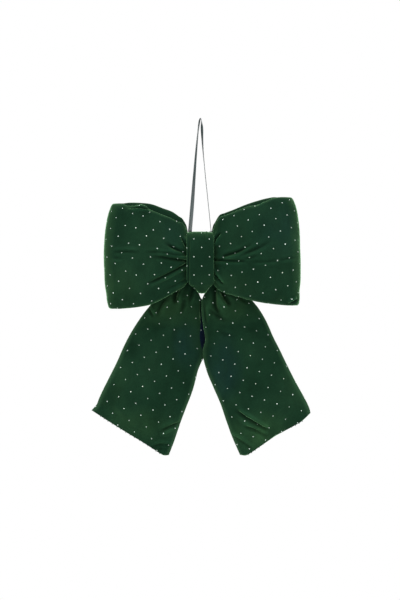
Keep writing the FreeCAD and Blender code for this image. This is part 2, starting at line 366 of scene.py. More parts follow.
def new_object(name, points, faces):
    """A smooth mesh object of points in metres."""
    mesh = bpy.data.meshes.new(name)
    mesh.from_pydata(points, [], faces)
    mesh.validate()
    mesh.polygons.foreach_set("use_smooth", [True] * len(mesh.polygons))
    obj = bpy.data.objects.new(name, mesh)
    bpy.context.scene.collection.objects.link(obj)
    return obj


def mesh_from_grid(name, grid, ring=False):
    """A closed quad mesh of a grid of points in millimetres; open rows get a cap."""
    rows, columns = grid.shape[:2]
    index = np.arange(rows * columns).reshape(rows, columns)
    faces = []
    for r in range(rows if ring else rows - 1):
        a, b = index[r], index[(r + 1) % rows]
        faces += np.stack([a, np.roll(a, -1), np.roll(b, -1), b], 1).tolist()
    points = (grid.reshape(-1, 3) * MM).tolist()
    if not ring:
        for r, flip in ((0, True), (rows - 1, False)):
            edge = index[r].tolist()
            middle = len(points)
            points.append((grid[r].mean(axis=0) * MM).tolist())
            for one, two in zip(edge, edge[1:] + edge[:1]):
                faces.append((middle, two, one) if flip else (middle, one, two))
    obj = new_object(name, points, faces)
    if volume(obj.data) < 0:
        obj.data.flip_normals()
    return obj


def volume(mesh):
    mesh.calc_loop_triangles()
    co = np.array([v.co for v in mesh.vertices])
    tri = np.array([t.vertices for t in mesh.loop_triangles])
    a, b, c = co[tri[:, 0]], co[tri[:, 1]], co[tri[:, 2]]
    return float(np.einsum("ij,ij->i", a, np.cross(b, c)).sum() / 6)


def tangent_line(points, samples=40):
    """A dense smooth line through a few points (x, z)."""
    points = np.asarray(points, float)
    run = np.concatenate([[0], np.cumsum(np.linalg.norm(np.diff(points, axis=0), axis=1))])
    return smooth_table(run, points, np.linspace(0, run[-1], samples))


def thickness(grid):
    """How thick the pillow is at every grid point, measured straight across its section."""
    across = grid[:, (-np.arange(grid.shape[1])) % grid.shape[1]]
    return np.linalg.norm(grid - across, axis=2)


CREASE_WIDTH, CREASE_DEPTH = 0.74, 1.12     # the tables' widths and depths are times these
CREASE_ROOM = 0.34            # no crease is deeper than this share of the pillow's thickness


def fold_line(grid, n, room, face, line, width, depth, lip, side, fade):
    """Presses a crease into the skin along a line (x, z), with a raised lip on one side.

    The skin's front is face -1, its back 1; room is the pillow's thickness at each point."""
    line = tangent_line(line)
    width, depth = width * CREASE_WIDTH, depth * CREASE_DEPTH
    start, step = line[:-1], np.diff(line, axis=0)
    flat = grid[..., [0, 2]]
    low, high = line.min(axis=0) - 5 * width, line.max(axis=0) + 5 * width
    near = np.all((flat > low) & (flat < high), axis=2) & (face * n[..., 1] > 0.02)
    if not near.any():
        return
    p = flat[near]
    to = p[:, None] - start[None]
    length2 = (step**2).sum(1)
    t = np.clip((to * step[None]).sum(2) / length2, 0, 1)
    off = to - t[..., None] * step[None]
    distance = np.linalg.norm(off, axis=2)
    k = distance.argmin(axis=1)
    rows = np.arange(len(p))
    along = (k + t[rows, k]) / len(step)
    cross = step[k, 0] * off[rows, k, 1] - step[k, 1] * off[rows, k, 0]
    signed = np.sign(cross) * distance[rows, k] * side
    envelope = 1.0
    for share, length in zip((along, 1 - along), fade):
        if length > 0:
            envelope = envelope * ease(share, 0, length)
    depth = np.minimum(depth, CREASE_ROOM * room[near])
    valley = -depth * np.exp(-np.abs(signed / width) ** 1.6)
    ridge = depth * lip * np.exp(-((signed - 1.9 * width) / (1.1 * width)) ** 2)
    ridge += depth * lip * 0.35 * np.exp(-((signed + 2.1 * width) / (1.4 * width)) ** 2)
    facing = ease(face * n[near][:, 1], 0.02, 0.30)
    grid[near] += n[near] * ((valley + ridge) * envelope * facing)[:, None]


# ======== cloth

KEEP_OUTLINE = np.array([0.3, 1.0, 0.3])    # the pieces swell forwards and back, not sideways
SWELL_CAP = 6.0               # the farthest that any point may move, in mm
SWELL_FRAMES = 18
CLOTH = {"quality": 5, "mass": 0.02, "tension_stiffness": 18, "compression_stiffness": 14,
         "shear_stiffness": 6, "bending_stiffness": 0.25, "air_damping": 2, "use_pressure": True,
         "uniform_pressure_force": 4, "vertex_group_mass": "hold", "pin_stiffness": 1.0,
         "vertex_group_shrink": "slack", "shrink_max": -0.02, "shrink_min": -0.09}


def swell(jobs):
    """Blows every cover up a little with Blender's cloth, held where it is sewn or pressed.

    A job is (grid, hold 0..1, slack 0..1); it returns the new grids."""
    scene = bpy.context.scene
    made = []
    for i, (grid, hold, slack) in enumerate(jobs):
        obj = mesh_from_grid(f"sim_{i}", grid)
        pins = obj.vertex_groups.new(name="hold")
        loose = obj.vertex_groups.new(name="slack")
        for index, (h, s) in enumerate(zip(hold.ravel(), slack.ravel())):
            pins.add([index], float(h), "REPLACE")
            loose.add([index], float(s), "REPLACE")
        for index in range(hold.size, len(obj.data.vertices)):
            pins.add([index], 1.0, "REPLACE")
        cloth = obj.modifiers.new("cloth", "CLOTH")
        for key, value in CLOTH.items():
            setattr(cloth.settings, key, value)
        cloth.settings.effector_weights.gravity = 0
        cloth.collision_settings.use_collision = False
        cloth.collision_settings.use_self_collision = False
        cloth.point_cache.frame_start = 1
        cloth.point_cache.frame_end = 30
        made.append(obj)
    for step in range(SWELL_FRAMES):
        scene.frame_set(step + 1)
    graph = bpy.context.evaluated_depsgraph_get()
    results = []
    for obj, (grid, _, _) in zip(made, jobs):
        mesh = obj.evaluated_get(graph).to_mesh()
        co = np.array([v.co for v in mesh.vertices]) / MM
        moved = co[:grid.shape[0] * grid.shape[1]].reshape(grid.shape) - grid
        for _ in range(3):
            moved = (2 * moved + np.roll(moved, 1, axis=1) + np.roll(moved, -1, axis=1)) / 4
            moved[1:-1] = (2 * moved[1:-1] + moved[:-2] + moved[2:]) / 4
        moved *= KEEP_OUTLINE
        size = np.linalg.norm(moved, axis=2, keepdims=True)
        moved *= np.minimum(1, SWELL_CAP / np.maximum(size, 1e-6))
        results.append(grid + moved)
        bpy.data.objects.remove(obj)
    scene.frame_set(1)
    return results


# ======== ribbon

RIBBON_WIDTH, RIBBON_THICK = 6.0, 0.8
RIBBON_ROUTE = [
    (-16.2, -172.8), (-13.0, -136.0), (-9.9, -90.0), (-6.4, -44.0), (-1.9, 0.4), (1.9, 0.4),
    (3.2, -42.0), (7.4, -88.0), (12.1, -133.0), (16.2, -172.8),
]
# share of the length, direction of the ribbon's width in degrees from +X (90 is edge-on)
RIBBON_TWIST = [(0, 6), (0.12, 24), (0.25, 50), (0.36, 66), (0.44, 76), (0.485, 70), (0.515, 96),
                (0.545, 126), (0.60, 112), (0.68, 96), (0.80, 92), (1.0, 88)]
RIBBON_SUNK = 2.6             # how far its ends reach into the band


def ribbon_line():
    """The ribbon's middle line, read from a smooth spline through its route."""
    curve = bpy.data.curves.new("ribbon_route", "CURVE")
    curve.dimensions = "3D"
    curve.resolution_u = 16
    spline = curve.splines.new("NURBS")
    spline.points.add(len(RIBBON_ROUTE) - 1)
    for point, (x, z) in zip(spline.points, RIBBON_ROUTE):
        point.co = (x * MM, 0, z * MM, 1)
    spline.order_u = 3
    spline.use_endpoint_u = True
    holder = bpy.data.objects.new("ribbon_route", curve)
    bpy.context.scene.collection.objects.link(holder)
    line = bpy.data.meshes.new_from_object(holder)
    points = np.array([v.co for v in line.vertices]) / MM
    bpy.data.objects.remove(holder)
    return points


def make_ribbon():
    line = ribbon_line()
    run = np.concatenate([[0], np.cumsum(np.linalg.norm(np.diff(line, axis=0), axis=1))])
    tangent = np.gradient(line, axis=0)
    tangent /= np.linalg.norm(tangent, axis=1, keepdims=True)
    first, last = line[0] - tangent[0] * RIBBON_SUNK, line[-1] + tangent[-1] * RIBBON_SUNK
    angle = np.radians(smooth_table(*zip(*RIBBON_TWIST), run / run[-1]))
    wide = np.stack([np.cos(angle), np.sin(angle), 0 * angle], 1)
    wide -= tangent * (wide * tangent).sum(1)[:, None]
    wide /= np.linalg.norm(wide, axis=1, keepdims=True)
    flat = np.cross(tangent, wide)
    line = np.concatenate([[first], line, [last]])
    wide, flat = (np.concatenate([v[:1], v, v[-1:]]) for v in (wide, flat))
    c, s = section(24, 5)
    curl = 0.35 * (1 - np.abs(c) ** 2)          # a faint hollow across the width
    grid = (line[:, None] + wide[:, None] * (c * RIBBON_WIDTH / 2)[None, :, None]
            + flat[:, None] * (s * RIBBON_THICK / 2 + curl - 0.2)[None, :, None])
    ribbon = mesh_from_grid("satin_ribbon", grid)
    ribbon.data.materials.append(SATIN)
    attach(ribbon, "hanger")
    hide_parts("hanging_ribbon")


# ======== loops

LAYER_GAP = 1.6
# distance from the bow's centre, thickness of one layer
NECK_THICK = [(3, 13.5), (19, 14.2), (22, 15.5), (25, 19), (30, 22.5), (38, 25.5), (50, 28), (65, 29.5)]
# the edges are distance from the bow's centre, height: the top ones fall away towards the band
LOOPS = {
    "left_loop": {
        "side": -1,
        "front_top": [(3, -190), (14, -189), (19.2, -182), (22, -171.5), (24.5, -166), (28, -162.5),
                      (35, -160), (46, -154.5), (58, -149.8), (68, -145.8), (77, -142.2),
                      (84, -137.0), (92, -133.8), (101, -135.5), (112, -136.2), (122, -133.0)],
        "back_top": [(3, -190), (14, -189), (18.6, -182), (20.6, -169.5), (24.5, -160), (28, -154.5),
                     (33, -151), (42, -144.6), (58, -138.2), (78, -131.4), (93, -129.8),
                     (112, -129.4), (122, -130.6)],
        "front_bottom": [(3, -248), (14, -249), (19, -252), (22, -256), (25, -259.5), (33, -264.5),
                         (47, -272.6), (62, -281), (78, -288), (93, -291), (110, -293),
                         (122, -293.9)],
        "back_bottom": [(3, -248), (14, -249), (19, -251), (22, -254), (25, -257), (33, -262),
                        (47, -270), (62, -279), (78, -286), (93, -290), (110, -292.5),
                        (122, -293.9)],
        "thick": NECK_THICK + [(85, 30.5), (104, 30), (122, 26.4)],
        "fold": 122.2, "top_out": -3.0, "bottom_out": 1.6,
        "lattice": 58.0, "anchor": (-110.0, -193.7), "seam": -212,
    },
    "right_loop": {
        "side": 1,
        "front_top": [(3, -190), (14, -189), (18, -179), (20.5, -169), (24.5, -160), (28, -155),
                      (37.7, -150.5), (48, -146.6), (60, -141.6), (74, -136.8), (86, -135),
                      (95, -132.6), (106, -127.5), (116, -123.8), (126, -122.6)],
        "back_top": [(3, -190), (14, -189), (16.5, -180), (18.2, -169.5), (22.5, -160), (28, -150.5),
                     (37.7, -145.5), (48, -141.6), (70, -132.6), (92, -125.9), (106, -122.6),
                     (118, -121.0), (126, -122.0)],
        "front_bottom": [(3, -248), (14, -249), (18, -252), (21, -257.5), (25, -262), (33, -267.6),
                         (45, -271.8), (61, -276.4), (85, -283.2), (105, -286.6), (126, -288.8)],
        "back_bottom": [(3, -248), (14, -249), (18, -251), (21, -255), (25, -259), (33, -265),
                        (45, -269.5), (61, -274), (85, -281.5), (105, -285.3), (126, -288.8)],
        "thick": NECK_THICK + [(88, 30.5), (108, 30), (126, 26.4)],
        "fold": 127.6, "top_out": -3.4, "bottom_out": 6.4,
        "lattice": 70.5, "anchor": (103.8, -184.5), "seam": -205.5,
    },
}

# creases on the front of the bow: line (x, z), width, depth, lip, lip's side, fade in and out
LOOP_CREASES = {
    "left_loop": [
        ([(-134, -206.8), (-122, -206.2), (-106, -206.2), (-90, -208)], 2.3, 2.8, 1.0, 1, (.2, .3)),
        ([(-92, -208.5), (-76, -207), (-56, -208.5), (-38, -211), (-22, -213)],
         2.2, 2.2, 0.9, 1, (.3, .0)),
        ([(-80, -214.5), (-62, -214.5), (-45, -217), (-21, -220.5)], 2.6, 4.0, 0.7, 1, (.4, .0)),
        ([(-56, -192), (-44, -199.5), (-33, -205), (-21, -209.5)], 2.8, 4.0, 0.6, -1, (.4, .0)),
        ([(-44, -204.5), (-32, -209.5), (-21, -212.5)], 1.8, 2.2, 0.6, 1, (.4, .0)),
        ([(-90, -262), (-76, -254), (-56, -244.5), (-38, -235), (-20, -225)], 2.6, 3.6, 0.7, -1, (.4, .0)),
        ([(-134, -215), (-124, -217), (-118, -216)], 2.4, 2.2, 1.0, -1, (.3, .4)),
        ([(-29, -183.5), (-26, -190), (-22, -198)], 2.0, 3.2, 0.6, 1, (.3, .1)),
        ([(-24, -250), (-38, -257), (-56, -266)], 2.6, 1.3, 0.6, 1, (.0, .5)),
        ([(-77, -141.8), (-84, -141.0), (-93, -140.0), (-103, -140.0), (-113, -138.5)],
         2.2, 4.4, 1.0, 1, (.05, .5)),
    ],
    "right_loop": [
        ([(30, -216), (37, -213), (52, -208.5), (62, -204.5), (72, -198.5), (84, -193)],
         2.7, 5.2, 0.7, -1, (.2, .55)),
        ([(52, -214.5), (68, -209), (84, -203), (100, -194.5), (112, -187)], 3.2, 3.0, 0.8, -1, (.4, .5)),
        ([(60, -218), (76, -215.5), (92, -210)], 2.4, 2.2, 0.8, -1, (.4, .5)),
        ([(21, -219.5), (38, -220), (56, -221), (76, -221.5)], 2.4, 3.6, 0.6, -1, (.0, .3)),
        ([(74, -221.8), (92, -222.4), (108, -221.5), (120, -220)], 2.2, 1.9, 1.0, -1, (.3, .2)),
        ([(118, -219.8), (132, -217.5), (146, -215.5)], 2.2, 2.6, 0.9, -1, (.3, .3)),
        ([(21, -192), (25, -184), (32, -177)], 2.4, 4.4, 0.7, -1, (.0, .4)),
        ([(20, -236), (26, -246), (35, -257)], 2.0, 3.6, 1.0, 1, (.0, .2)),
        ([(88, -134.5), (95, -128.5), (97, -123)], 2.0, 4.0, 1.0, -1, (.1, .0)),
        ([(135, -287), (142, -283), (149, -279)], 2.4, 2.8, 1.1, 1, (.2, .2)),
        ([(101, -122), (110, -123.5), (118, -122)], 2.0, 1.8, 1.0, 1, (.3, .4)),
    ],
}
# gathers behind, where the strips leave the band
BACK_CREASES = {
    "left_loop": [
        ([(-22, -200), (-40, -186), (-62, -168)], 3.0, 3.0, 0.5, 1, (.0, .5)),
        ([(-22, -213), (-44, -208), (-76, -204)], 2.8, 3.0, 0.5, -1, (.0, .5)),
        ([(-22, -228), (-46, -236), (-78, -248)], 3.0, 2.8, 0.5, 1, (.0, .5)),
        ([(-22, -240), (-38, -252), (-54, -266)], 2.6, 2.4, 0.5, 1, (.0, .5)),
    ],
    "right_loop": [
        ([(21, -199), (40, -184), (66, -166)], 3.0, 3.0, 0.5, 1, (.0, .5)),
        ([(21, -216), (46, -214), (82, -216)], 2.8, 3.2, 0.5, -1, (.0, .5)),
        ([(21, -230), (44, -242), (72, -254)], 3.0, 2.6, 0.5, 1, (.0, .5)),
    ],
}

RUN_ROWS, FOLD_ROWS, AROUND = 44, 20, 128
# rows of one layer, close together in the gathers: from, to (mm from the bow's centre), count
GRIPPED_ROWS, GATHERED_ROWS, OPEN_START = (3, 17, 5), (18.5, 34, 11), 36.5


def loop_shape(spec):
    """Grid of the folded strip, with where each row and column lies on the flat cloth."""
    side, end = spec["side"], spec["fold"]
    rest = RUN_ROWS - GRIPPED_ROWS[2] - GATHERED_ROWS[2]
    dense = np.concatenate([np.linspace(*GRIPPED_ROWS), np.linspace(*GATHERED_ROWS),
                            np.linspace(OPEN_START, end, rest)])
    turn = np.pi * (np.arange(FOLD_ROWS) + 1) / (FOLD_ROWS + 1)
    out = np.concatenate([dense, np.full(FOLD_ROWS, end), dense[::-1]])
    angle = np.concatenate([0 * dense, turn, 0 * dense + np.pi])
    back = (1 - np.cos(angle)) / 2
    edge = {key: smooth_table(*zip(*spec[key]), out)
            for key in ("front_top", "back_top", "front_bottom", "back_bottom", "thick")}
    top = edge["front_top"] * (1 - back) + edge["back_top"] * back
    bottom = edge["front_bottom"] * (1 - back) + edge["back_bottom"] * back
    half, middle, thick = (top - bottom) / 2, (top + bottom) / 2, edge["thick"]
    radius = (LAYER_GAP + thick) / 2
    h, w = section(AROUND)
    way_x, way_y = np.sin(angle), -np.cos(angle)
    reach = (out + radius * way_x)[:, None] + (thick / 2 * way_x)[:, None] * w
    lean = spec["top_out"] * np.clip(h, 0, 1) ** 1.4 + spec["bottom_out"] * np.clip(-h, 0, 1) ** 2
    reach = reach + lean * ease(out, 60, end)[:, None]
    depth = BOW_Y + (radius * way_y)[:, None] + (thick / 2 * way_y)[:, None] * w
    height = middle[:, None] + half[:, None] * h
    grid = np.stack([side * reach, depth, height], 2)
    return grid, out, angle


def loop_hold(out):
    """Where the cloth may move: the band's grip holds it, and so does the facing layer."""
    h, w = section(AROUND)
    grip = 1 - ease(out, 22, 40)
    held = np.maximum(0.92 * ease(-w, -0.25, 0.15), 0.35 * ease(np.abs(h), 0.93, 1.0))
    slack = (1 - ease(out, 40, 95))[:, None] * ease(w, -0.1, 0.3)[None]
    return np.maximum(grip[:, None], held[None]), 0.2 + 0.8 * slack


# ======== tails

# outer edge (x, z), inner edge (x, z), depth behind the bow's middle plane, half thickness
TAILS = {
    "left_tail": {
        "side": -1,
        "rows": [
            ((20, -227), (8, -227), 37.2, 4.6), ((20.5, -250), (7, -252), 37.2, 5.0),
            ((27, -258), (5, -263), 36.0, 6.4), ((46, -265), (0.8, -274), 34.0, 8.4),
            ((66, -276), (-1.9, -283.5), 31.0, 10.0), ((81, -292.3), (-1.4, -303), 27.5, 12.0),
            ((95, -311), (1.5, -323), 24.0, 13.6), ((107, -330), (3.6, -339), 21.0, 14.8),
            ((117, -349), (-2.2, -360), 19.0, 15.5), ((129, -376), (4.8, -392), 18.0, 15.6),
            ((142.8, -403.5), (12.8, -422), 18.0, 15.2), ((151.5, -421), (22.0, -446), 18.0, 14.2),
            ((156.9, -433.0), (32.5, -474), 18.0, 11.4), ((160.4, -441.5), (40.5, -498), 18.0, 7.4),
            ((168.0, -450.2), (48.9, -519.4), 18.0, 2.4),
        ],
        "sag": [(-1, 0), (-0.85, 5), (-0.5, 3.6), (0, 3), (0.5, 1.8), (1, 0)],
        "axis": 23.0, "lattice": 43.6, "anchor": (-67.8, -361.4),
    },
    "right_tail": {
        "side": 1,
        "rows": [
            ((20, -227), (8, -227), 37.2, 4.6), ((20.5, -250), (7.5, -252), 37.2, 5.0),
            ((28, -257), (8.5, -263), 36.0, 6.4), ((48, -262.5), (4.4, -274), 34.0, 8.4),
            ((69, -272), (1.4, -283.5), 31.0, 10.0), ((86, -288), (1.8, -303), 27.5, 12.0),
            ((100.6, -311), (4.4, -322), 24.0, 13.6), ((113.0, -338.8), (7.2, -341), 20.5, 15.0),
            ((119.8, -352), (3.6, -360), 19.0, 15.5), ((133.3, -380), (8.6, -387), 18.0, 15.6),
            ((147.2, -407.5), (19.8, -415), 18.0, 15.2), ((157.2, -425.5), (30.6, -440), 18.0, 14.2),
            ((164.6, -439.5), (40.2, -468), 18.0, 11.4), ((168.0, -447.6), (49.7, -494), 18.0, 7.4),
            ((169.6, -454.4), (60.9, -519.2), 18.0, 2.4),
        ],
        "sag": [(-1, 0), (-0.8, 6.5), (-0.45, 5), (-0.05, 1.2), (0.3, 2.5), (0.7, 5), (1, 0)],
        "axis": 23.5, "lattice": 50.0, "anchor": (58.1, -358.9),
    },
}
TAIL_CREASES = {
    "left_tail": [
        ([(-33, -258), (-37, -266), (-40, -276), (-39, -288)], 4.4, 6.0, 0.5, 1, (.0, .35)),
        ([(-12, -262), (-15, -274), (-20, -290)], 3.6, 2.4, 0.5, 1, (.0, .5)),
        ([(-81, -292), (-77, -300), (-71, -307)], 2.4, 3.0, 1.0, 1, (.1, .4)),
        ([(-24, -276), (-28, -292), (-34, -308)], 4.0, 2.0, 0.4, 1, (.2, .5)),
        ([(-56, -278), (-64, -292), (-68, -310)], 4.4, 2.4, 0.5, 1, (.1, .5)),
        ([(-36, -318), (-40, -332), (-38, -350)], 6.0, 0.8, 0.4, 1, (.4, .4)),
        ([(0.6, -279), (1.0, -290), (2.0, -304), (3.0, -320)], 2.6, 4.0, 0.1, 1, (.1, .2)),
        ([(-32, -471), (-44, -475), (-57, -481), (-68, -488)], 3.0, 3.4, 1.0, 1, (.0, .45)),
        ([(-46, -507), (-57, -503.5), (-68, -505), (-78, -511)], 2.6, 4.0, 1.1, -1, (.0, .1)),
        ([(-52, -513), (-60, -510), (-66, -513)], 2.0, 2.2, 0.6, 1, (.1, .1)),
    ],
    "right_tail": [
        ([(24, -262), (22.3, -275), (22.6, -289), (28, -300), (36, -307)], 4.4, 4.2, 0.6, 1, (.0, .35)),
        ([(33, -268), (37, -276), (42, -283), (48, -290)], 4.6, 5.0, 0.6, -1, (.0, .35)),
        ([(52, -264), (60, -274), (74, -286)], 3.4, 2.6, 0.5, 1, (.1, .5)),
        ([(10, -292), (20, -300), (32, -308), (44, -312)], 3.4, 2.4, 0.5, 1, (.3, .4)),
        ([(26, -326), (40, -333), (54, -337)], 4.0, 1.2, 0.6, 1, (.4, .4)),
        ([(4.5, -283), (6, -300), (9, -322)], 3.0, 1.6, 0.8, 1, (.2, .3)),
        ([(52, -448), (66, -459), (84, -470), (104, -482)], 3.4, 4.6, 1.0, 1, (.3, .1)),
        ([(64, -475), (80, -479), (94, -486), (104, -492)], 2.8, 4.2, 1.0, 1, (.3, .1)),
        ([(46, -490), (57, -495), (68, -502), (80, -511)], 2.6, 4.6, 1.1, 1, (.0, .05)),
    ],
}
TAIL_BACK_CREASES = {
    "left_tail": [
        ([(-14, -252), (-30, -275), (-44, -305)], 4.0, 3.4, 0.4, 1, (.0, .5)),
        ([(-10, -256), (-16, -280), (-18, -306)], 3.2, 2.4, 0.4, 1, (.0, .5)),
    ],
    "right_tail": [
        ([(14, -252), (32, -272), (52, -300)], 4.0, 3.4, 0.4, 1, (.0, .5)),
        ([(11, -256), (15, -282), (22, -310)], 3.2, 2.4, 0.4, 1, (.0, .5)),
    ],
}
# how far down, and the x from which the left tail is out of sight behind the right one and painted in
# shadow
TUCK_LINE = [(270, 1.6), (290, 1.2), (306, 0.5), (320, -0.4), (336, -1.2), (348, 0.2), (362, 2.6)]
TAIL_ROWS, TAIL_AROUND = 96, 96
TAIL_GROWS, TAIL_GROWS_FROM = 1.006, -280   # the rows are drawn a little large, from this height
# mm sideways and back: the left tail's inner edge, and its back layer where it shows between them
TUCKED_BY, SPREADS_BY = (3.6, 6.5), (14.0, 4.0)


def tail_shape(spec):
    """Grid of a flat pillow between its edges, and how far down it each row lies."""
    side, rows = spec["side"], spec["rows"]
    outer = np.array([r[0] for r in rows], float)
    inner = np.array([r[1] for r in rows], float)
    steps = (np.linalg.norm(np.diff(outer, axis=0), axis=1)
             + np.linalg.norm(np.diff(inner, axis=0), axis=1)) / 2
    run = np.concatenate([[0], np.cumsum(steps)])
    at = np.linspace(0, run[-1], TAIL_ROWS)
    outer, inner = smooth_table(run, outer, at), smooth_table(run, inner, at)
    depth, thick = smooth_table(run, [[r[2], r[3]] for r in rows], at).T
    c, s = section(TAIL_AROUND)
    middle, half = (outer + inner) / 2, (outer - inner) / 2
    flat = middle[:, None] + half[:, None] * c[None, :, None]
    x, z = side * flat[..., 0], flat[..., 1]
    y = BOW_Y + depth[:, None] - thick[:, None] * s[None]
    end = ease(at, at[-1] - 34, at[-1])
    z = z - end[:, None] * smooth_table(*zip(*spec["sag"]), c)[None]
    x, z = x * TAIL_GROWS, TAIL_GROWS_FROM + (z - TAIL_GROWS_FROM) * TAIL_GROWS
    if side < 0:                        # its inner edge lies behind the other tail's edge
        tuck = ease(-c, 0.60, 1.0)[None] * (ease(at, 52, 76) * (1 - ease(at, 140, 168)))[:, None]
        x, y = x + TUCKED_BY[0] * tuck, y + TUCKED_BY[1] * tuck
        behind = ease(-s, -0.30, 0.55) * ease(-c, 0.40, 0.98)
        lens = ease(at, 70, 118) * (1 - ease(at, 132, 186))
        x = x + SPREADS_BY[0] * behind[None] * lens[:, None]
        y = y + SPREADS_BY[1] * behind[None] * lens[:, None]
    return np.stack([x, y, z], 2), at


def tail_hold(at):
    """Where the cloth may move: the gathered top, the sewn end and the side seams hold it."""
    grip = np.maximum(1 - ease(at, 26, 60), ease(at, at[-1] - 16, at[-1] - 2))
    seams = 0.55 * ease(np.abs(section(TAIL_AROUND)[0]), 0.92, 1.0)
    hold = np.maximum(grip[:, None], seams[None])
    return hold, 0.25 + 0.75 * (1 - ease(at, 60, 130))[:, None] + 0 * hold


# ======== centre band

KNOT_CREASES = [
    ([(-17.2, -179), (-17.4, -200), (-18.0, -225), (-18.2, -250), (-17.0, -262)],
     1.5, 1.9, 0.45, 1, (.1, .1)),
    ([(6.4, -173), (7.0, -180), (6.6, -192)], 1.5, 2.2, 0.9, 1, (.0, .5)),
    ([(-13.5, -174), (-14.6, -186), (-15.4, -200)], 1.6, 1.2, 0.5, -1, (.0, .5)),
]
KNOT_ROWS, KNOT_AROUND = 132, 56
KNOT_HALF_Y, KNOT_HALF_Z = 27.0, 42.4       # of the ring that runs through the band's thickness
KNOT_HALF_THICK, KNOT_LEAN_Z = 3.9, 42.5    # the second sets which way its skin faces
KNOT_ROUND, KNOT_EDGE = 2.4, 2.7            # 2 is an ellipse, more is squarer: ring and section
# turn in degrees from the front over the top, half width: the band is pinched at the bottom
KNOT_WIDTH = [(0, 20.8), (200, 20.0), (232, 17.0), (252, 11.0), (268, 7.2), (279, 6.4),
              (290, 9.5), (300, 15.0), (309, 19.6), (318, 20.8), (360, 20.8)]
KNOT_SHIFT = [(0, -0.4), (220, -0.4), (270, 2.2), (300, 1.6), (330, -0.4), (360, -0.4)]


def knot_shape():
    """The band's ring: rows go round it from the front over the top, columns round its section."""
    turn = 2 * np.pi * np.arange(KNOT_ROWS) / KNOT_ROWS
    degrees = np.degrees(turn)
    cy, cz = np.cos(turn), np.sin(turn)
    ring_y = -np.sign(cy) * np.abs(cy) ** (2 / KNOT_ROUND)
    ring_z = np.sign(cz) * np.abs(cz) ** (2 / KNOT_ROUND)
    half_width = smooth_table(*zip(*KNOT_WIDTH), degrees)
    shift = smooth_table(*zip(*KNOT_SHIFT), degrees)
    c, s = section(KNOT_AROUND, KNOT_EDGE)
    normal_y = -np.sign(cy) * np.abs(cy) ** (2 - 2 / KNOT_ROUND) / KNOT_HALF_Y
    normal_z = np.sign(cz) * np.abs(cz) ** (2 - 2 / KNOT_ROUND) / KNOT_LEAN_Z
    thick = KNOT_HALF_THICK / np.hypot(normal_y, normal_z)
    sag = 4.0 * ease(degrees, 240, 272) * (1 - ease(degrees, 276, 304))
    sag += 1.2 * ease(degrees, 20, 80) * (1 - ease(degrees, 90, 150))
    x = shift[:, None] + half_width[:, None] * c
    y = BOW_Y + (KNOT_HALF_Y * ring_y)[:, None] + (thick * normal_y)[:, None] * s
    z = KNOT_Z + (KNOT_HALF_Z * ring_z - sag)[:, None] + (thick * normal_z)[:, None] * s
    return np.stack([x, y, z], 2)


# ======== spots, wadding, stitches

PITCH = 20.0                  # of the square lattice of spots on the flat cloth, in mm
LATTICE = range(-30, 31)
OFF_CLOTH = 2.4               # mm: no spot where the skin's nearest point is farther off
ACROSS_FOLD = 8.0             # mm: nearest points farther apart lie on both sides of a fold
SPOT_RINGS = [(0.0, 0.30), (0.33, 0.27), (0.58, 0.18), (0.76, 0.0), (0.82, -0.30)]  # radius, height
SPOT_SIDES, SPOT_TILT = 12, 0.10
THREAD_RADIUS, THREAD_SIDES, THREAD_STEPS = 0.5, 8, 7
FRONT, BACK = -1, 1


def scatter(name, fine, n, p, q, keep, angle, anchor, face=FRONT):
    """Spots at a square lattice of the flat cloth (p, q), set on the skin; one is at the anchor."""
    facing = keep & (face * n[..., 1] > -0.2)
    flat = np.where(facing[..., None], fine[..., [0, 2]], 1e6)
    first = np.linalg.norm(flat - np.array(anchor), axis=2).argmin()
    origin = np.array([p.ravel()[first], q.ravel()[first]])
    a = math.radians(angle)
    one = PITCH * np.array([math.cos(a), math.sin(a)])
    two = PITCH * np.array([-math.sin(a), math.cos(a)])
    inside = np.stack([p, q], 2)[keep]
    place, direction = fine[keep], n[keep]
    low, high = inside.min(axis=0), inside.max(axis=0)
    spots = []
    for i in LATTICE:
        for j in LATTICE:
            want = origin + i * one + j * two
            if np.any(want < low) or np.any(want > high):
                continue
            gap = np.linalg.norm(inside - want, axis=1)
            near = np.argsort(gap)[:4]
            if gap[near[0]] > OFF_CLOTH:
                continue
            weight = 1 / (gap[near] + 0.05)
            weight /= weight.sum()
            if np.linalg.norm(place[near] - place[near[0]], axis=1).max() > ACROSS_FOLD:
                near, weight = near[:1], np.array([1.0])
            spots.append([(v[near] * weight[:, None]).sum(0) for v in (place, direction)])
    return domes(name, spots)


def domes(name, spots):
    """Low round domes of foil, each a little tilted, and a little larger or smaller."""
    points, faces = [], []
    for middle, up in spots:
        up = up + np.array([random.gauss(0, SPOT_TILT) for _ in range(3)])
        up /= np.linalg.norm(up)
        side = np.cross(up, (0.3, 0.2, 0.9))
        side /= np.linalg.norm(side)
        other = np.cross(up, side)
        scale = random.uniform(0.92, 1.08)
        base = len(points)
        for r, (radius, height) in enumerate(SPOT_RINGS):
            for k in range(SPOT_SIDES if r else 1):
                t = 2 * math.pi * k / SPOT_SIDES
                off = side * math.cos(t) * radius + other * math.sin(t) * radius
                points.append(tuple((middle + off * scale + up * height) * MM))
        rings = [base + 1 + SPOT_SIDES * r for r in range(len(SPOT_RINGS) - 1)]
        for k in range(SPOT_SIDES):
            m = (k + 1) % SPOT_SIDES
            faces.append((base, rings[0] + k, rings[0] + m))
            for near, far in zip(rings, rings[1:]):
                faces.append((near + k, far + k, far + m, near + m))
    obj = new_object(name, points, faces)
    obj.data.materials.append(FOIL)
    return obj


